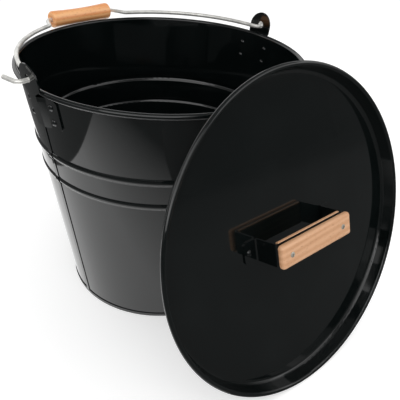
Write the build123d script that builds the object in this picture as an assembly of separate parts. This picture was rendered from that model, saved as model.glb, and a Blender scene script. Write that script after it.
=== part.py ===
from build123d import *
import math
import os

# Tapered steel log bucket with a wooden-gripped bail and a dished lid that leans on its rim.
# Millimetres, +Z up. Origin: centre of the base, on the floor. The ears stand at -X and +X,
# the bail is folded back over the rim at +Y and the lid leans at -Y.

# Bucket
rim_radius = 167.0
rim_height = 300.0
rim_curl = 3.0
base_radius = 120.0
wall_sheet = 0.8
curl_end_angle = -120
wire_gap = 0.3

# Swage beads pressed outwards into the wall
upper_bead_height = 219.1
bead_spacing = 32.7
upper_bead_half = 5.0
lower_bead_half = 4.6
upper_bead_rise = 1.7
lower_bead_rise = 1.4
bead_foot_radius = 2.0

# Lap seam up the side of the wall
seam_width = 5.5
seam_sheet = 0.8
seam_bite = 0.4
seam_azimuth = 177.6
seam_sweep = 8

# Base pan and hem
seat_gap = 0.1
base_sheet = 0.8
base_recess = 4.0
base_bend = 1.0
hem_sheet = 0.8
hem_outer_height = 5.0
hem_inner_height = 2.6

# Ears
ear_sheet = 1.5
ear_half_width = 30.0
ear_drop = 39.5
ear_top_drop = 4.8
ear_corner = 5.0
ear_roll_gap = 0.2
channel_half = 6.5
channel_ramp = 7.0
channel_low_gap = 3.6
lobe_radius = 16.5
lobe_rise = 11.6
lobe_neck_lap = 0.3
lobe_neck_drop = 10.0
lobe_flare_drop = 2.5
lobe_flare_radius = 4.0
eye_radius = 4.5
eye_rise = 12.7

# Rivets
rivet_radius = 2.0
rivet_head_radius = 3.75
rivet_head_height = 2.0
rivet_peen_radius = 3.0
rivet_peen_height = 1.1
rivet_hole_gap = 0.1
ear_rivet_reach = 20.0
ear_rivet_drops = (14.0, 31.0)

# Bail wire, in its own plane: across, and out from the hinge axis
bail_wire_radius = 2.5
bail_running_gap = 0.3
hook_reach = 17.5
hook_tip_splay = 3.5
hook_tip_out = 22.5
hook_bend = 6.0
bail_arc_inset = 1.5
bail_arc_setback = 3.4
bail_arc_start = 6.5
bail_arc_end_across = 68.0
bail_shoulder_bend = 5.0
jog_foot_run = 9.5
jog_top_across = 49.3
jog_bend = 6.5
bail_end_chamfer = 0.6

# Bail grip
grip_half = 44.0
grip_end_radius = 10.5
grip_waist_radius = 9.3
grip_bore_gap = 0.3
grip_round = 2.6
grip_bore_round = 1.0
grip_flare_run = 3.2
grip_rest_gap = 0.3

# Lid
lid_radius = 179.3
lid_curl = 2.7
lid_sheet = 0.9
lid_depth = 14.0
lid_wall_spread = 6.0
lid_bend = 4.5
lid_lean = 17.28
lid_azimuth = -3.66
lid_aside = 14.0
lid_rest_gap = 0.3

# Lid handle
strap_width = 25.0
strap_sheet = 1.8
strap_half = 52.0
strap_foot = 69.0
strap_bend = 2.2
strap_foot_corner = 5.0
foot_rivet_across = 62.0
web_height = 30.0
plate_length = 107.5
plate_width = 26.0
plate_thickness = 8.5
plate_round = 3.8
strip_thickness = 4.4
strip_width = 26.0
strip_round = 1.5
strip_end_gap = 0.3
handle_gap = 0.05
screw_across = 40.0
screw_radius = 1.5
screw_head_radius = 2.9
screw_head_depth = 1.6
screw_head_rise = 0.5
screw_gap = 0.1
screw_tip_left = 1.2
cross_length = 3.4
cross_width = 0.7
cross_depth = 1.0

cut_over = 2.0
whole_turn = 360


# Edges through corners given as (x, y, radius), each corner rounded by its radius
def rounded(corners, closed=True):
    count = len(corners)
    places = []
    for index, (x, y, radius) in enumerate(corners):
        here = Vector(x, y)
        if radius == 0:
            places.append((here, None, here))
            continue
        back = (Vector(*corners[index - 1][:2]) - here).normalized()
        ahead = (Vector(*corners[(index + 1) % count][:2]) - here).normalized()
        half = math.radians(back.get_angle(ahead)) / 2
        reach = radius / math.tan(half)
        centre = here + (back + ahead).normalized() * (radius / math.sin(half))
        middle = centre + (here - centre).normalized() * radius
        places.append((here + back * reach, middle, here + ahead * reach))
    edges = []
    for index, (start, middle, end) in enumerate(places):
        if middle is not None:
            edges.append(ThreePointArc(start, middle, end))
        if closed or index < count - 1:
            edges.append(Line(end, places[(index + 1) % count][0]))
    return edges


# Arc about a centre from one angle to another, in degrees
def swing(centre, radius, first, last):
    def at(angle):
        turn = math.radians(angle)
        return centre + Vector(math.cos(turn), math.sin(turn)) * radius

    return ThreePointArc(at(first), at((first + last) / 2), at(last))


# Solid of revolution about Z from a profile drawn as (radius, height)
def turned(edges, angle=whole_turn):
    return revolve(Plane.XZ * Face(Wire(edges)), Axis.Z, angle)


def save(name, shape):
    export_step(shape, f"parts/{name}.step")


# Wall slope: the outer face is tangent to the inside of the curl
curl_inside = rim_curl - wall_sheet
taper = rim_radius - base_radius
slope = math.atan2(taper, rim_height) - math.asin(curl_inside / math.hypot(taper, rim_height))
lean_sin = math.sin(slope)
lean_cos = math.cos(slope)
rim_centre = Vector(rim_radius, rim_height)
lower_bead_height = upper_bead_height - bead_spacing


# Point beside the wall's outer face: up along the slope, out square to it
def on_wall(up, out):
    return Vector(base_radius + up * lean_sin + out * lean_cos, up * lean_cos - out * lean_sin)


# Radius at a height of the surface that lies out from the wall's outer face
def wall_radius(height, out=0):
    return base_radius + height * math.tan(slope) + out / lean_cos


# One bead as foot, crown and foot arcs, at a distance out from the wall's outer face
def bead_edges(height, half, rise, out):
    middle = height / lean_cos
    phi = 2 * math.atan2(rise, half)
    crown = half / math.sin(phi) - bead_foot_radius
    foot = bead_foot_radius - out

    def low(angle, side):
        up = middle + side * (half - foot * math.sin(angle))
        return on_wall(up, bead_foot_radius - foot * math.cos(angle))

    return [
        ThreePointArc(low(0, -1), low(phi / 2, -1), low(phi, -1)),
        ThreePointArc(low(phi, -1), on_wall(middle, rise + out), low(phi, 1)),
        ThreePointArc(low(phi, 1), low(phi / 2, 1), low(0, 1)),
    ]


# Line of the wall between two heights along the slope, with both beads
def wall_edges(start, end, out):
    lower = bead_edges(lower_bead_height, lower_bead_half, lower_bead_rise, out)
    upper = bead_edges(upper_bead_height, upper_bead_half, upper_bead_rise, out)
    return [
        Line(on_wall(start, out), lower[0] @ 0),
        *lower,
        Line(lower[-1] @ 1, upper[0] @ 0),
        *upper,
        Line(upper[-1] @ 1, on_wall(end, out)),
    ]


# Bucket body
wall_foot = (hem_sheet + seat_gap) / lean_cos

curl_start = whole_turn / 2 - math.degrees(slope)
wall_top = (rim_centre - on_wall(0, curl_inside)).dot(Vector(lean_sin, lean_cos))
skin_in = wall_edges(wall_foot, wall_top, -wall_sheet)
skin_out = wall_edges(wall_foot, wall_top, 0)
curl_out_arc = swing(rim_centre, rim_curl, curl_start, curl_end_angle)
curl_in_arc = swing(rim_centre, curl_inside, curl_start, curl_end_angle)
body = turned(
    skin_in
    + skin_out
    + [
        curl_out_arc,
        curl_in_arc,
        Line(curl_out_arc @ 1, curl_in_arc @ 1),
        Line(skin_in[0] @ 0, skin_out[0] @ 0),
    ]
)

seam_foot = (hem_outer_height + seat_gap) / lean_cos
seam_top = (rim_height - rim_curl - seat_gap) / lean_cos - seam_sheet
seam_in = wall_edges(seam_foot, seam_top, -seam_bite)
seam_out = wall_edges(seam_foot, seam_top, seam_sheet)
seam_ends = [
    Line(seam_in[0] @ 0, seam_out[0] @ 0),
    Line(seam_in[-1] @ 1, seam_out[-1] @ 1),
]
seam = Rot(0, 0, -seam_sweep / 2) * turned(seam_in + seam_out + seam_ends, seam_sweep)
seam &= Pos(rim_radius, 0, 0) * Box(rim_radius, seam_width, 2 * rim_height + 2 * rim_curl)
body += Rot(0, 0, seam_azimuth) * seam


# Frame on the wall's outer face at an azimuth and a height, Z square to the face
def wall_plane(azimuth, height):
    turn = math.radians(azimuth)
    radius = wall_radius(height)
    spot = Vector(radius * math.cos(turn), radius * math.sin(turn), height)
    square = Vector(lean_cos * math.cos(turn), lean_cos * math.sin(turn), -lean_sin)
    return Plane(spot, x_dir=Vector(-math.sin(turn), math.cos(turn), 0), z_dir=square)


# Rivet through a stack that runs from low to high along Z
def rivet(low, high):
    axis_low = Vector(0, low - rivet_peen_height)
    axis_high = Vector(0, high + rivet_head_height)
    peen_rise = (rivet_peen_radius**2 + rivet_peen_height**2) / (2 * rivet_peen_height)
    head_rise = (rivet_head_radius**2 + rivet_head_height**2) / (2 * rivet_head_height)
    peen_centre = Vector(0, low - rivet_peen_height + peen_rise)
    head_centre = Vector(0, high + rivet_head_height - head_rise)
    peen_angle = math.degrees(math.asin(rivet_peen_radius / peen_rise))
    head_angle = math.degrees(math.asin(rivet_head_radius / head_rise))
    down = -whole_turn / 4
    return turned(
        [
            swing(peen_centre, peen_rise, down, down + peen_angle),
            Line((rivet_peen_radius, low), (rivet_radius, low)),
            Line((rivet_radius, low), (rivet_radius, high)),
            Line((rivet_radius, high), (rivet_head_radius, high)),
            swing(head_centre, head_rise, -down - head_angle, -down),
            Line(axis_high, axis_low),
        ]
    )


# Ears: a pressed plate whose raised channel bridges the rolled rim and carries a lobe
flange_in = seat_gap
lobe_in = curl_inside + rim_curl + ear_roll_gap
ear_low = rim_height - ear_drop
ear_high = rim_height - ear_top_drop
lobe_centre = rim_height + lobe_rise
eye_height = rim_height + eye_rise
neck_half = channel_half + lobe_neck_lap


# Section of the ear at a height, as distances along the wall and out from it
def ear_section(height, outline):
    def at(along, out):
        angle = along / wall_radius(rim_height)
        radius = wall_radius(height, out)
        return Vector(radius * math.cos(angle), radius * math.sin(angle), height)

    edges = []
    for (along, out), (next_along, next_out) in zip(outline, outline[1:] + outline[:1]):
        if out == next_out:
            middle = at((along + next_along) / 2, out)
            edges.append(ThreePointArc(at(along, out), middle, at(next_along, out)))
        else:
            edges.append(Line(at(along, out), at(next_along, next_out)))
    return Wire(edges)


# Sheet lofted through ear sections given as (height, outline)
def ear_band(levels):
    return Solid.make_loft([ear_section(height, outline) for height, outline in levels], ruled=True)


# Outline of the plate where the inside of its channel stands out from the wall by a gap
def plate_outline(channel_gap):
    plate_end = ear_half_width + cut_over
    foot = channel_half + channel_ramp
    shift = ear_sheet * math.tan(math.atan2(channel_gap - flange_in, channel_ramp) / 2)
    return [
        (-plate_end, flange_in),
        (-foot, flange_in),
        (-channel_half, channel_gap),
        (channel_half, channel_gap),
        (foot, flange_in),
        (plate_end, flange_in),
        (plate_end, flange_in + ear_sheet),
        (foot + shift, flange_in + ear_sheet),
        (channel_half + shift, channel_gap + ear_sheet),
        (-channel_half - shift, channel_gap + ear_sheet),
        (-foot - shift, flange_in + ear_sheet),
        (-plate_end, flange_in + ear_sheet),
    ]


# Prism through the ear from an outline seen square to it, as (across, height, radius)
def ear_prism(outline):
    across = Plane.YZ * Face(Wire(rounded(outline)))
    return extrude(across, amount=2 * rim_radius)


neck_low = rim_height - lobe_neck_drop
neck_flare = rim_height - lobe_flare_drop
ear_plate = ear_band(
    [
        (ear_low - cut_over, plate_outline(channel_low_gap)),
        (neck_low, plate_outline(lobe_in)),
        (ear_high + cut_over, plate_outline(lobe_in)),
    ]
)
ear_plate &= ear_prism(
    [
        (-ear_half_width, ear_low, ear_corner),
        (ear_half_width, ear_low, ear_corner),
        (ear_half_width, ear_high, ear_corner),
        (-ear_half_width, ear_high, ear_corner),
    ]
)
lobe_wide = lobe_radius + cut_over
lobe_outline = [
    (-lobe_wide, lobe_in),
    (lobe_wide, lobe_in),
    (lobe_wide, lobe_in + ear_sheet),
    (-lobe_wide, lobe_in + ear_sheet),
]
lobe_top = lobe_centre + lobe_radius
lobe = ear_band([(neck_low, lobe_outline), (lobe_top + cut_over, lobe_outline)])
lobe_shape = ear_prism(
    [
        (-neck_half, neck_low, 0),
        (neck_half, neck_low, 0),
        (neck_half, neck_flare, 0),
        (lobe_radius, neck_flare + lobe_flare_radius, lobe_flare_radius),
        (lobe_radius, lobe_centre, 0),
        (-lobe_radius, lobe_centre, 0),
        (-lobe_radius, neck_flare + lobe_flare_radius, lobe_flare_radius),
        (-neck_half, neck_flare, 0),
    ]
)
across_x = Rot(0, 90, 0)
round_top = across_x * Cylinder(lobe_radius, 2 * rim_radius, align=(Align.CENTER, Align.CENTER, Align.MIN))
lobe &= lobe_shape + Pos(0, 0, lobe_centre) * round_top
eye = across_x * Cylinder(eye_radius, 2 * rim_radius, align=(Align.CENTER, Align.CENTER, Align.MIN))
ear = ear_plate + lobe - Pos(0, 0, eye_height) * eye

rivet_turn = math.degrees(ear_rivet_reach / wall_radius(rim_height))
rivet_drill = Cylinder(rivet_radius + rivet_hole_gap, 2 * (lobe_in + wall_sheet + cut_over))
ear_rivet = rivet(-wall_sheet - seat_gap, flange_in + ear_sheet + seat_gap)
ear_spots = [
    wall_plane(side * rivet_turn, rim_height - drop)
    for drop in ear_rivet_drops
    for side in (-1, 1)
]
for spot in ear_spots:
    ear -= spot * rivet_drill
half_turn = Rot(0, 0, whole_turn / 2)
for spot in ear_spots:
    body -= spot * rivet_drill
    body -= half_turn * (spot * rivet_drill)

# Rim wire inside the curl
wire_circle = Pos(rim_radius, rim_height) * Circle(curl_inside - wire_gap)
rim_wire = revolve(Plane.XZ * wire_circle, Axis.Z)

# Base pan: flat bottom, its flange turned down inside the wall
pan_top = base_recess + base_sheet
pan_out = wall_sheet + seat_gap
flange_foot = (hem_sheet + seat_gap) / lean_cos
base_pan = turned(
    rounded(
        [
            (0, base_recess, 0),
            (wall_radius(base_recess, -pan_out - base_sheet), base_recess, base_bend),
            (*tuple(on_wall(flange_foot, -pan_out - base_sheet))[:2], 0),
            (*tuple(on_wall(flange_foot, -pan_out))[:2], 0),
            (wall_radius(pan_top, -pan_out), pan_top, base_bend + base_sheet),
            (0, pan_top, 0),
        ]
    )
)

# Base hem: folded ring round the foot of the wall and the pan's flange
hem_in = pan_out + base_sheet + seat_gap
hem_out = seat_gap + hem_sheet
hem_top = hem_outer_height / lean_cos
hem_lip = hem_inner_height / lean_cos
hem_floor = hem_sheet
base_hem = turned(
    rounded(
        [
            (wall_radius(0, -hem_in - hem_sheet), 0, hem_sheet / 2),
            (wall_radius(0, hem_out), 0, hem_sheet / 2),
            (*tuple(on_wall(hem_top, hem_out))[:2], 0),
            (*tuple(on_wall(hem_top, seat_gap))[:2], 0),
            (wall_radius(hem_floor, seat_gap), hem_floor, 0),
            (wall_radius(hem_floor, -hem_in), hem_floor, 0),
            (*tuple(on_wall(hem_lip, -hem_in))[:2], 0),
            (*tuple(on_wall(hem_lip, -hem_in - hem_sheet))[:2], 0),
        ]
    )
)

# Bail wire, folded back level over the rim; the hinge axis runs along X through both eyes
hinge_height = eye_height - eye_radius + bail_running_gap + bail_wire_radius
grip_drop = hinge_height - rim_height
grip_reach = grip_waist_radius + rim_curl + grip_rest_gap
grip_out = rim_radius + math.sqrt(grip_reach**2 - grip_drop**2)
bail_arc_radius = rim_radius - bail_arc_inset
hook_across = rim_radius + hook_reach
arc_centre = Vector(0, -bail_arc_setback)
start_angle = math.degrees(math.asin((bail_arc_start + bail_arc_setback) / bail_arc_radius))
end_angle = math.degrees(math.acos(bail_arc_end_across / bail_arc_radius))
main_arc = swing(arc_centre, bail_arc_radius, start_angle, end_angle)
arc_start = main_arc @ 0
arc_end = main_arc @ 1
start_way = main_arc % 0
end_way = main_arc % 1
shoulder = arc_start - start_way * (arc_start.Y / start_way.Y)
jog_foot = arc_end + end_way * jog_foot_run
hook_path = rounded(
    [
        (hook_across + hook_tip_splay, hook_tip_out, 0),
        (hook_across, 0, hook_bend),
        (shoulder.X, 0, bail_shoulder_bend),
        (arc_start.X, arc_start.Y, 0),
    ],
    closed=False,
)
jog_path = rounded(
    [
        (arc_end.X, arc_end.Y, 0),
        (jog_foot.X, jog_foot.Y, jog_bend),
        (jog_top_across, grip_out, jog_bend),
        (0, grip_out, 0),
    ],
    closed=False,
)
half_path = hook_path + [main_arc] + jog_path
bail_path = Wire(half_path + [edge.mirror(Plane.YZ) for edge in half_path])
wire_end = Plane(bail_path @ 0, z_dir=bail_path % 0)
bail_wire = sweep(wire_end * Circle(bail_wire_radius), path=bail_path)
end_faces = bail_wire.faces().filter_by(GeomType.PLANE)
bail_wire = chamfer(end_faces.edges(), bail_end_chamfer)
bail_wire = Pos(0, 0, hinge_height) * bail_wire

# Bail grip: turned roller with a waist
grip_bore = bail_wire_radius + grip_bore_gap
flare_at = grip_half - grip_round - grip_flare_run
bore_in = grip_half - grip_bore_round
bore_lip = grip_bore + grip_bore_round
shoulder_at = grip_half - grip_round
shoulder_low = grip_end_radius - grip_round
grip_profile = [
    Line((-bore_in, grip_bore), (bore_in, grip_bore)),
    Line((bore_in, grip_bore), (grip_half, bore_lip)),
    Line((grip_half, bore_lip), (grip_half, shoulder_low)),
    swing(Vector(shoulder_at, shoulder_low), grip_round, 0, 90),
    Line((shoulder_at, grip_end_radius), (flare_at, grip_end_radius)),
    ThreePointArc((flare_at, grip_end_radius), (0, grip_waist_radius), (-flare_at, grip_end_radius)),
    Line((-flare_at, grip_end_radius), (-shoulder_at, grip_end_radius)),
    swing(Vector(-shoulder_at, shoulder_low), grip_round, 90, 180),
    Line((-grip_half, shoulder_low), (-grip_half, bore_lip)),
    Line((-grip_half, bore_lip), (-bore_in, grip_bore)),
]
bail_grip = revolve(Face(Wire(grip_profile)), Axis.X)
bail_grip = Pos(0, grip_out, hinge_height) * bail_grip

# Lid pan, drawn about its own axis: the rolled edge is centred on its front plane
lid_inside = lid_curl - lid_sheet
lid_roll = Vector(lid_radius - lid_curl, 0)
lid_panel_radius = lid_roll.X - lid_wall_spread
wall_run = math.hypot(lid_wall_spread, lid_depth)
lid_slope = math.atan2(lid_wall_spread, lid_depth) - math.asin(lid_curl / wall_run)
lid_out = Vector(math.cos(lid_slope), -math.sin(lid_slope))
lid_curl_start = whole_turn / 2 - math.degrees(lid_slope)
lid_front = -lid_depth
lid_back = lid_front - lid_sheet
lid_skin = lid_sheet / math.cos(lid_slope)
back_radius = lid_panel_radius + lid_skin - lid_sheet * math.tan(lid_slope)
lid_top_arc = swing(lid_roll, lid_curl, lid_curl_start, curl_end_angle)
lid_low_arc = swing(lid_roll, lid_inside, lid_curl_start, curl_end_angle)
lid_face = rounded(
    [
        (0, lid_front, 0),
        (lid_panel_radius, lid_front, lid_bend),
        ((lid_top_arc @ 0).X, (lid_top_arc @ 0).Y, 0),
    ],
    closed=False,
)
lid_rear = rounded(
    [
        (0, lid_back, 0),
        (back_radius, lid_back, lid_bend + lid_sheet),
        ((lid_low_arc @ 0).X, (lid_low_arc @ 0).Y, 0),
    ],
    closed=False,
)
lid_pan = turned(
    lid_face
    + lid_rear
    + [
        lid_top_arc,
        lid_low_arc,
        Line(lid_top_arc @ 1, lid_low_arc @ 1),
        Line((0, lid_front), (0, lid_back)),
    ]
)
lid_wire = revolve(Plane.XZ * Pos(lid_roll.X, 0) * Circle(lid_inside - wire_gap), Axis.Z)

# Handle bracket: strap bent into feet, legs and web, drawn as (across, height over the panel)
strap_in = strap_half - strap_sheet
foot_low = handle_gap
foot_top = handle_gap + strap_sheet
web_top = web_height + strap_sheet
outer_bend = strap_bend + strap_sheet
bracket_outline = [
    (-strap_foot, foot_low, 0),
    (-strap_foot, foot_top, 0),
    (-strap_half, foot_top, strap_bend),
    (-strap_half, web_top, outer_bend),
    (strap_half, web_top, outer_bend),
    (strap_half, foot_top, strap_bend),
    (strap_foot, foot_top, 0),
    (strap_foot, foot_low, 0),
    (strap_in, foot_low, outer_bend),
    (strap_in, web_height, strap_bend),
    (-strap_in, web_height, strap_bend),
    (-strap_in, foot_low, outer_bend),
]
panel = Pos(0, 0, lid_front)
bracket = extrude(Plane.XZ * Face(Wire(rounded(bracket_outline))), amount=strap_width / 2, both=True)
tip_edges = bracket.edges().filter_by(Axis.Z)
tip_edges = tip_edges.group_by(Axis.X)[0] + tip_edges.group_by(Axis.X)[-1]
bracket = fillet(tip_edges, strap_foot_corner)

# Wooden plate in front of the web and strip behind it
plate_low = web_top + handle_gap
strip_high = web_height - handle_gap
upright = (Align.CENTER, Align.CENTER, Align.MIN)
plate = Pos(0, 0, plate_low) * Box(plate_length, plate_width, plate_thickness, align=upright)
plate = fillet(plate.edges(), plate_round)
strip_length = 2 * (strap_in - strap_bend - strip_end_gap)
strip_low = strip_high - strip_thickness
strip = Pos(0, 0, strip_low) * Box(strip_length, strip_width, strip_thickness, align=upright)
strip = fillet(strip.edges().filter_by(Axis.X), strip_round)

# Countersunk screws through plate and web into the strip
head_face = plate_low + plate_thickness
screw_tip = strip_low + screw_tip_left
dome = (screw_head_radius**2 + screw_head_rise**2) / (2 * screw_head_rise)
dome_angle = math.degrees(math.asin(screw_head_radius / dome))
quarter = whole_turn / 4
screw = turned(
    [
        Line((0, screw_tip), (screw_radius, screw_tip)),
        Line((screw_radius, screw_tip), (screw_radius, head_face - screw_head_depth)),
        Line((screw_radius, head_face - screw_head_depth), (screw_head_radius, head_face)),
        swing(Vector(0, head_face + screw_head_rise - dome), dome, quarter - dome_angle, quarter),
        Line((0, head_face + screw_head_rise), (0, screw_tip)),
    ]
)
cross_arm = Box(cross_length, cross_width, 2 * cross_depth)
cross = cross_arm + Rot(0, 0, 90) * cross_arm
screw -= Pos(0, 0, head_face + screw_head_rise) * cross
drill_radius = screw_radius + screw_gap
drill_low = screw_tip - screw_gap
sink_radius = screw_head_radius + screw_gap
screw_room = turned(
    [
        Line((0, drill_low), (drill_radius, drill_low)),
        Line((drill_radius, drill_low), (drill_radius, head_face - screw_head_depth)),
        Line((drill_radius, head_face - screw_head_depth), (sink_radius, head_face)),
        Line((sink_radius, head_face), (sink_radius, head_face + cut_over)),
        Line((sink_radius, head_face + cut_over), (0, head_face + cut_over)),
        Line((0, head_face + cut_over), (0, drill_low)),
    ]
)
foot_rivet = rivet(-lid_sheet - handle_gap, foot_top + handle_gap)
foot_drill = Cylinder(rivet_radius + rivet_hole_gap, 2 * (lid_sheet + foot_top + cut_over))
for side in (-1, 1):
    bracket -= Pos(side * foot_rivet_across, 0, 0) * foot_drill
    lid_pan -= panel * Pos(side * foot_rivet_across, 0, 0) * foot_drill
    for_screw = Pos(side * screw_across, 0, 0) * screw_room
    plate -= for_screw
    bracket -= for_screw
    strip -= for_screw

# The lid stands on its rolled edge on the floor and leans on the rolled rim
lean = math.radians(lid_lean)
turn = math.radians(lid_azimuth)
lid_height = lid_roll.X * math.cos(lean) + lid_curl
rim_reach = rim_radius * math.cos(lean) + rim_height * math.sin(lean) + rim_curl
lid_reach = rim_reach + lid_rest_gap + lid_sheet + lid_depth
lid_away = (lid_reach - lid_height * math.sin(lean)) / math.cos(lean)
lid_across = Vector(math.cos(turn), math.sin(turn), 0)
lid_away_way = Vector(math.sin(turn), -math.cos(turn), 0)
lid_centre = lid_across * lid_aside + lid_away_way * lid_away + Vector(0, 0, lid_height)
lid_normal = lid_away_way * math.cos(lean) + Vector(0, 0, math.sin(lean))
lid_place = Plane(lid_centre, x_dir=lid_across, z_dir=lid_normal)

print("slope", math.degrees(slope), "hinge height", hinge_height, "grip out", grip_out)
print("lid centre", lid_centre, "normal", lid_normal)

os.makedirs("parts", exist_ok=True)
save("bucket_body", body)
save("rim_wire", rim_wire)
save("base_pan", base_pan)
save("base_hem", base_hem)
save("ear_right", ear)
save("ear_left", half_turn * ear)
for number, spot in enumerate(ear_spots):
    save(f"ear_right_rivet_{number + 1}", spot * ear_rivet)
    save(f"ear_left_rivet_{number + 1}", half_turn * (spot * ear_rivet))
save("bail_wire", bail_wire)
save("bail_grip", bail_grip)
save("lid_pan", lid_place * lid_pan)
save("lid_wire", lid_place * lid_wire)
save("handle_bracket", lid_place * (panel * bracket))
save("handle_plate", lid_place * (panel * plate))
save("handle_back", lid_place * (panel * strip))
for side, name in ((-1, "left"), (1, "right")):
    save(f"handle_rivet_{name}", lid_place * (panel * (Pos(side * foot_rivet_across, 0, 0) * foot_rivet)))
    save(f"handle_screw_{name}", lid_place * (panel * (Pos(side * screw_across, 0, 0) * screw)))
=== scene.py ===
import math

import bmesh
import bpy
from mathutils import Matrix, Vector

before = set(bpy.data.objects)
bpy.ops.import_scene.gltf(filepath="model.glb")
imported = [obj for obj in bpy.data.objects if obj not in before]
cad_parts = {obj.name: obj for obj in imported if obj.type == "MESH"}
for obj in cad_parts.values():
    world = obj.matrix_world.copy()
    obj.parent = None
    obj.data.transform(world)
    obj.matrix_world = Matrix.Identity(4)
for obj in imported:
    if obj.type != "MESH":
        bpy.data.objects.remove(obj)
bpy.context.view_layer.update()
print("stage: frame loaded,", len(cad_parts), "nodes")

camera = {
    "place": (-0.41237, -0.47942, 0.51225),  # metres
    "heading": 45.579,  # degrees from +Y towards +X
    "drop": 32.941,  # degrees below level
    "roll": 3.593,  # degrees
    "lens": 49.225,  # millimetres
    "sensor": 36,  # millimetres across
    "nearest": 0.01,  # metres, nothing closer than this is drawn
}


def setCamera(settings):
    heading = math.radians(settings["heading"])
    drop = math.radians(settings["drop"])
    roll = math.radians(settings["roll"])
    ahead = Vector((
        math.sin(heading) * math.cos(drop),
        math.cos(heading) * math.cos(drop),
        -math.sin(drop),
    ))
    level = Vector((math.cos(heading), -math.sin(heading), 0))
    rise = level.cross(ahead)
    right = level * math.cos(roll) + rise * math.sin(roll)
    up = rise * math.cos(roll) - level * math.sin(roll)
    data = bpy.data.cameras.new("photoCamera")
    data.sensor_fit = "HORIZONTAL"
    data.sensor_width = settings["sensor"]
    data.lens = settings["lens"]
    data.clip_start = settings["nearest"]
    holder = bpy.data.objects.new("photoCamera", data)
    turn = Matrix((right, up, -ahead)).transposed()
    holder.matrix_world = Matrix.Translation(settings["place"]) @ turn.to_4x4()
    bpy.context.scene.collection.objects.link(holder)
    bpy.context.scene.camera = holder


setCamera(camera)
print("stage: camera set")


def hexColor(text):  # sRGB hex to linear
    parts = [int(text[i:i + 2], 16) / 255 for i in (1, 3, 5)]
    return [c / 12.92 if c <= 0.04045 else ((c + 0.055) / 1.055) ** 2.4 for c in parts] + [1]


# inputs go by name, or by number where a node has several of one name: in a Mix node 0 is the
# factor, 2 and 3 are its numbers A and B, and 6 and 7 its colours A and B
def addNode(tree, kind, inputs=None, **settings):
    node = tree.nodes.new(kind)
    for name, value in settings.items():
        setattr(node, name, value)
    for name, value in (inputs or {}).items():
        if isinstance(value, bpy.types.NodeSocket):
            tree.links.new(value, node.inputs[name])
        else:
            node.inputs[name].default_value = value
    return node


def newMaterial(name):
    material = bpy.data.materials.new(name)
    material.use_nodes = True
    material.node_tree.nodes.clear()
    return material, material.node_tree


def finishMaterial(tree, shader):
    addNode(tree, "ShaderNodeOutputMaterial", {"Surface": shader.outputs[0]})


def perMetre(millimetres):  # texture scale whose features are about this wide
    return 1000 / millimetres


def metres(millimetres):
    return millimetres / 1000


enamelLook = {
    "colour": "#060A0A",
    "smudge": "#0B0F0F",
    "ior": 1.56,
    "roughness": 0.05,
    "smudgeRoughness": 0.09,
    "smudgeWidth": 60,  # millimetres
    "smudgeRange": (0.45, 0.75),  # noise levels between which a smudge comes in
    "peelWidth": 3.0,  # millimetres across a ripple, as wide as it has to be to show
    "peelDepth": 0.0015,  # millimetres
}


def stovedEnamel(look):
    # stoved gloss enamel on pressed steel: mirror-like, a faint orange peel, cloudy polish marks
    material, tree = newMaterial("stovedBlackEnamel")
    place = addNode(tree, "ShaderNodeTexCoord").outputs["Object"]
    cloud = addNode(
        tree, "ShaderNodeTexNoise",
        {"Vector": place, "Scale": perMetre(look["smudgeWidth"]), "Detail": 4},
    )
    clear, smudged = look["smudgeRange"]
    soft = addNode(
        tree, "ShaderNodeMapRange",
        {"Value": cloud.outputs["Fac"], "From Min": clear, "From Max": smudged},
    )
    tint = addNode(
        tree, "ShaderNodeMix",
        {0: soft.outputs[0], 6: hexColor(look["colour"]), 7: hexColor(look["smudge"])},
        data_type="RGBA",
    )
    rough = addNode(
        tree, "ShaderNodeMapRange",
        {
            "Value": soft.outputs[0],
            "To Min": look["roughness"],
            "To Max": look["smudgeRoughness"],
        },
    )
    peel = addNode(
        tree, "ShaderNodeTexNoise",
        {"Vector": place, "Scale": perMetre(look["peelWidth"]), "Detail": 1},
    )
    bump = addNode(
        tree, "ShaderNodeBump",
        {"Height": peel.outputs["Fac"], "Distance": metres(look["peelDepth"]), "Strength": 1},
    )
    shader = addNode(
        tree, "ShaderNodeBsdfPrincipled",
        {
            "Base Color": tint.outputs[2],
            "Roughness": rough.outputs[0],
            "IOR": look["ior"],
            "Normal": bump.outputs[0],
        },
    )
    finishMaterial(tree, shader)
    return material


wireLook = {
    "colour": "#F1F0EB",
    "shade": "#C9C9C5",
    "metal": 0.5,  # half, because fresh zinc scatters more white light than bare metal
    "roughness": 0.28,
    "smoother": 0.06,  # taken off the roughness in the die marks' hollows
    "rougher": 0.1,  # added to it on their ridges
    "mottleWidth": 9,  # millimetres
    "mottleRange": (0.35, 0.7),  # noise levels between which the shade comes in
    "streak": 1.2,  # millimetres, wider than real die marks, which would not show
    "depth": 0.02,  # millimetres
    "relief": 0.6,  # share of that depth which the bump uses
}
screwLook = dict(wireLook, colour="#D6D3C8", shade="#A8A59B", metal=0.6, roughness=0.35)


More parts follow.
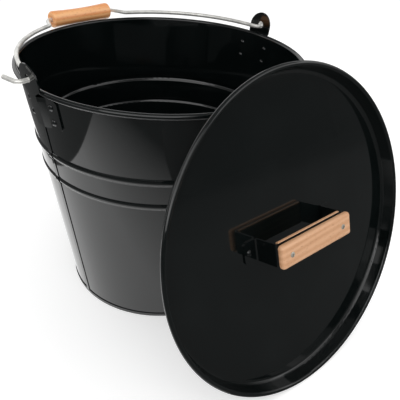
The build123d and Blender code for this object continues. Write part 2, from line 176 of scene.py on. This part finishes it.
def galvanisedWire(look, name):
    # drawn and galvanised steel: bright zinc with soft mottling and shallow die marks
    material, tree = newMaterial(name)
    place = addNode(tree, "ShaderNodeTexCoord").outputs["Object"]
    mottle = addNode(
        tree, "ShaderNodeTexNoise",
        {"Vector": place, "Scale": perMetre(look["mottleWidth"]), "Detail": 5},
    )
    fine = addNode(
        tree, "ShaderNodeTexNoise",
        {"Vector": place, "Scale": perMetre(look["streak"]), "Detail": 3},
    )
    bright, dull = look["mottleRange"]
    tone = addNode(
        tree, "ShaderNodeMapRange",
        {"Value": mottle.outputs["Fac"], "From Min": bright, "From Max": dull},
    )
    tint = addNode(
        tree, "ShaderNodeMix",
        {0: tone.outputs[0], 6: hexColor(look["colour"]), 7: hexColor(look["shade"])},
        data_type="RGBA",
    )
    rough = addNode(
        tree, "ShaderNodeMapRange",
        {
            "Value": fine.outputs["Fac"],
            "To Min": look["roughness"] - look["smoother"],
            "To Max": look["roughness"] + look["rougher"],
        },
    )
    bump = addNode(
        tree, "ShaderNodeBump",
        {
            "Height": fine.outputs["Fac"],
            "Distance": metres(look["depth"]),
            "Strength": look["relief"],
        },
    )
    shader = addNode(
        tree, "ShaderNodeBsdfPrincipled",
        {
            "Base Color": tint.outputs[2],
            "Metallic": look["metal"],
            "Roughness": rough.outputs[0],
            "Normal": bump.outputs[0],
        },
    )
    finishMaterial(tree, shader)
    return material


beechLook = {
    "ior": 1.5,
    "coatRoughness": 0.2,
    "along": 0.06,  # rings are stretched along the length by one over this
    "wander": 0.55,  # how far noise breaks up the even rings
    "fleckWidth": 0.9,  # millimetres, wider than real ray flecks, which would not show
    "fleckAlong": 0.22,  # flecks are stretched along the length by one over this
    "fleckRange": (0.6, 0.74),  # noise levels between which a fleck comes in
    "fleckShare": 0.55,
    "depth": 0.06,  # millimetres between raised and sunken grain
    "relief": 0.5,  # share of that depth which the bump uses
}
gripLook = dict(
    beechLook,
    light="#FFC98F",
    dark="#DF8444",
    fleck="#924817",
    roughness=0.34,
    coat=0.35,
    ring=6.4,  # millimetres between rings, wider than real ones so that they show
    turn=(0, 0, 0),
    centre=(0, 0.1731, 0.311),
)
plateLook = dict(
    beechLook,
    light="#DEAF89",
    dark="#C18C62",
    fleck="#8F5E3C",
    roughness=0.5,
    coat=0.3,
    ring=7.2,
    turn=(-0.3016, 0, 0.0639),  # radians, as the lid leans
    centre=(0.004, -0.212, 0.15),
)
bandsInMetre = 3.14  # about what a wave texture draws at scale 1


def beech(look, name):
    # straight-grained beech: pale rings along the length and short darker ray flecks
    material, tree = newMaterial(name)
    place = addNode(tree, "ShaderNodeTexCoord").outputs["Object"]
    turned = addNode(
        tree, "ShaderNodeMapping",
        {"Vector": place, "Location": look["centre"], "Rotation": look["turn"]},
        vector_type="TEXTURE",
    )
    stretched = addNode(
        tree, "ShaderNodeMapping",
        {"Vector": turned.outputs[0], "Scale": (look["along"], 1, 1)},
    )
    wander = addNode(
        tree, "ShaderNodeTexNoise",
        {
            "Vector": stretched.outputs[0],
            "Scale": perMetre(look["ring"] / 2),
            "Detail": 5,
            "Roughness": 0.6,
        },
    )
    rings = addNode(
        tree, "ShaderNodeTexWave",
        {
            "Vector": stretched.outputs[0],
            "Scale": perMetre(look["ring"]) / bandsInMetre,
            "Distortion": 5,
            "Detail": 3,
            "Detail Scale": 0.8,
        },
        bands_direction="Z",
    )
    mixRings = addNode(
        tree, "ShaderNodeMix",
        {0: look["wander"], 2: rings.outputs["Fac"], 3: wander.outputs["Fac"]},
    )
    base = addNode(
        tree, "ShaderNodeMix",
        {0: mixRings.outputs[0], 6: hexColor(look["light"]), 7: hexColor(look["dark"])},
        data_type="RGBA",
    )
    fleckPlace = addNode(
        tree, "ShaderNodeMapping",
        {"Vector": turned.outputs[0], "Scale": (look["fleckAlong"], 1, 1)},
    )
    fleck = addNode(
        tree, "ShaderNodeTexNoise",
        {
            "Vector": fleckPlace.outputs[0],
            "Scale": perMetre(look["fleckWidth"]),
            "Detail": 2,
            "Roughness": 0.5,
        },
    )
    plain, full = look["fleckRange"]
    fleckMask = addNode(
        tree, "ShaderNodeMapRange",
        {"Value": fleck.outputs["Fac"], "From Min": plain, "From Max": full},
    )
    flecked = addNode(
        tree, "ShaderNodeMath",
        {0: fleckMask.outputs[0], 1: look["fleckShare"]},
        operation="MULTIPLY",
    )
    colour = addNode(
        tree, "ShaderNodeMix",
        {0: flecked.outputs[0], 6: base.outputs[2], 7: hexColor(look["fleck"])},
        data_type="RGBA",
    )
    bump = addNode(
        tree, "ShaderNodeBump",
        {
            "Height": fleck.outputs["Fac"],
            "Distance": metres(look["depth"]),
            "Strength": look["relief"],
        },
    )
    shader = addNode(
        tree, "ShaderNodeBsdfPrincipled",
        {
            "Base Color": colour.outputs[2],
            "Roughness": look["roughness"],
            "IOR": look["ior"],
            "Coat Weight": look["coat"],
            "Coat Roughness": look["coatRoughness"],
            "Normal": bump.outputs[0],
        },
    )
    finishMaterial(tree, shader)
    return material


enamel = stovedEnamel(enamelLook)
zincWire = galvanisedWire(wireLook, "galvanisedWire")
zincScrew = galvanisedWire(screwLook, "zincPlatedScrew")
gripWood = beech(gripLook, "turnedBeech")
plateWood = beech(plateLook, "sandedBeech")
print("stage: materials made")

earRivets = [
    f"ear_{side}_rivet_{number}" for side in ("left", "right") for number in (1, 2, 3, 4)
]
finishes = {
    enamel: [
        "bucket_body", "base_pan", "base_hem", "ear_left", "ear_right", "lid_pan",
        "handle_bracket", "handle_rivet_left", "handle_rivet_right",
    ] + earRivets,
    zincWire: ["bail_wire", "rim_wire", "lid_wire"],
    zincScrew: ["handle_screw_left", "handle_screw_right"],
    gripWood: ["bail_grip"],
    plateWood: ["handle_plate", "handle_back"],
}
for material, names in finishes.items():
    for name in names:
        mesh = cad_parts[name].data
        mesh.materials.clear()
        mesh.materials.append(material)
print("stage: finishes set")


def flatPiece(name, size, place, turn, material):
    shape = bmesh.new()
    bmesh.ops.create_grid(shape, x_segments=1, y_segments=1, size=0.5)  # one metre square
    bmesh.ops.scale(shape, vec=(size[0], size[1], 1), verts=shape.verts)
    for angle, axis in zip(turn, "XYZ"):
        spin = Matrix.Rotation(math.radians(angle), 3, axis)
        bmesh.ops.rotate(shape, matrix=spin, verts=shape.verts)
    bmesh.ops.translate(shape, vec=place, verts=shape.verts)
    mesh = bpy.data.meshes.new(name)
    shape.to_mesh(mesh)
    shape.free()
    mesh.materials.append(material)
    piece = bpy.data.objects.new(name, mesh)
    bpy.context.scene.collection.objects.link(piece)
    return piece


def seenDirectly(tree):  # 1 for rays from the camera and for rays in gloss or glass
    path = addNode(tree, "ShaderNodeLightPath")
    first = addNode(
        tree, "ShaderNodeMath",
        {0: path.outputs["Is Camera Ray"], 1: path.outputs["Is Glossy Ray"]},
        operation="MAXIMUM",
    )
    both = addNode(
        tree, "ShaderNodeMath",
        {0: first.outputs[0], 1: path.outputs["Is Transmission Ray"]},
        operation="MAXIMUM",
    )
    return both.outputs[0]


floorLook = {
    "size": (6, 6),  # metres
    "colour": "#EDEDED",
    "lift": 0.36,  # glow where the floor is seen, so that it is white outside the shadow
    "glossLift": 0.62,  # glow in gloss, where an overexposed floor is brighter than white
}


def makeFloor(look):
    # matt white paper sweep: even, with the soft shadow left on it
    material, tree = newMaterial("paperSweep")
    path = addNode(tree, "ShaderNodeLightPath")
    more = addNode(
        tree, "ShaderNodeMath",
        {0: path.outputs["Is Glossy Ray"], 1: look["glossLift"] - look["lift"]},
        operation="MULTIPLY",
    )
    lift = addNode(
        tree, "ShaderNodeMath",
        {0: seenDirectly(tree), 1: look["lift"], 2: more.outputs[0]},
        operation="MULTIPLY_ADD",
    )
    matt = addNode(tree, "ShaderNodeBsdfDiffuse", {"Color": hexColor(look["colour"])})
    glow = addNode(tree, "ShaderNodeEmission", {"Strength": lift.outputs[0]})
    both = addNode(tree, "ShaderNodeAddShader", {0: matt.outputs[0], 1: glow.outputs[0]})
    finishMaterial(tree, both)
    flatPiece("floor", look["size"], (0, 0, 0), (0, 0, 0), material)


# grey felt cards that only gloss shows, in metres and degrees. "open" is a point round which the
# felt is left out, and "fade" gives the distances from it over which the felt comes in
flatFelt = {"turn": (0, 0, 0), "colour": "#686868"}
wallFelt = {"size": (5.8, 1.6), "colour": "#686868", "fade": (1.4, 2.5)}
felt = {
    # on the floor, 0.4 and 0.8 mm over it: a bright patch is left round the bucket, the lid's
    # panel stays dark, and the slanting card's straight edge shows in the wall
    "outerFelt": dict(
        flatFelt, middle=(0, 0, 0.0004), size=(5.8, 5.8), open=(-0.05, 0.25, 0), fade=(0.38, 0.62),
    ),
    "lidFelt": dict(flatFelt, middle=(1.24, -1.42, 0.0008), size=(2.72, 2.36)),
    "sideFelt": {
        "middle": (-0.822, 0.822, 0.0008), "size": (4.0, 1.6), "turn": (0, 0, 45),
        "colour": "#787878",
    },
    # upright round the set, so that the upper walls and the lid are dark
    "frontFelt": dict(wallFelt, middle=(0, -2.9, 0.8), turn=(90, 0, 0), open=(0, -2.9, 3)),
    "leftFelt": dict(wallFelt, middle=(-2.9, 0, 0.8), turn=(90, 0, 90), open=(-2.9, 0, 3)),
    "rightFelt": dict(wallFelt, middle=(2.9, 0, 0.8), turn=(90, 0, 90), open=(2.9, 0, 3)),
    # overhead, so that the rims are dark with a thin highlight
    "overheadFelt": {
        "middle": (0, 0, 2.3), "size": (5.8, 5.8), "turn": (0, 0, 0), "colour": "#8C8C8C",
    },
}


def makeFelt(settings):
    for name, look in settings.items():
        # wool felt: matt and grey, with no sheen
        material, tree = newMaterial(name + "Wool")
        wool = addNode(tree, "ShaderNodeBsdfDiffuse", {"Color": hexColor(look["colour"])})
        if "fade" in look:
            place = addNode(tree, "ShaderNodeTexCoord").outputs["Object"]
            away = addNode(
                tree, "ShaderNodeVectorMath", {0: place, 1: look["open"]}, operation="DISTANCE",
            )
            inner, outer = look["fade"]
            close = addNode(
                tree, "ShaderNodeMapRange",
                {"Value": away.outputs["Value"], "From Min": inner, "From Max": outer},
            )
            none = addNode(tree, "ShaderNodeBsdfTransparent")
            wool = addNode(
                tree, "ShaderNodeMixShader",
                {0: close.outputs[0], 1: none.outputs[0], 2: wool.outputs[0]},
            )
        finishMaterial(tree, wool)
        card = flatPiece(name, look["size"], look["middle"], look["turn"], material)
        card.visible_camera = False
        card.visible_diffuse = False
        card.visible_shadow = False


lights = {  # metres and watts, "aim" is the point that the lamp faces
    "key": {"place": (-1.3, -0.9, 1.7), "aim": (0, -0.05, 0.15), "size": (2.2, 2.2), "power": 20},
    "fill": {"place": (1.2, -1.5, 1.5), "aim": (0, -0.05, 0.15), "size": (1.6, 2.4), "power": 8},
}


def makeLights(settings):
    for name, look in settings.items():
        data = bpy.data.lights.new(name, "AREA")
        data.shape = "RECTANGLE"
        data.size, data.size_y = look["size"]
        data.energy = look["power"]
        lamp = bpy.data.objects.new(name, data)
        lamp.location = look["place"]
        towards = Vector(look["aim"]) - lamp.location
        lamp.rotation_euler = towards.to_track_quat("-Z", "Y").to_euler()
        bpy.context.scene.collection.objects.link(lamp)


world = {
    "colour": "#FFFFFF",
    "strength": 0.75,  # what lights the object
    "seenStrength": 1,  # what is seen directly and in gloss
}


def makeWorld(look):
    sky = bpy.data.worlds.new("studio")
    bpy.context.scene.world = sky
    sky.use_nodes = True
    tree = sky.node_tree
    tree.nodes.clear()
    white = hexColor(look["colour"])
    room = addNode(
        tree, "ShaderNodeBackground", {"Color": white, "Strength": look["strength"]},
    )
    backdrop = addNode(
        tree, "ShaderNodeBackground", {"Color": white, "Strength": look["seenStrength"]},
    )
    seen = addNode(
        tree, "ShaderNodeMixShader",
        {0: seenDirectly(tree), 1: room.outputs[0], 2: backdrop.outputs[0]},
    )
    addNode(tree, "ShaderNodeOutputWorld", {"Surface": seen.outputs[0]})


makeFloor(floorLook)
makeFelt(felt)
makeLights(lights)
makeWorld(world)
bpy.context.scene.view_settings.view_transform = "Standard"
print("stage: floor and light set")
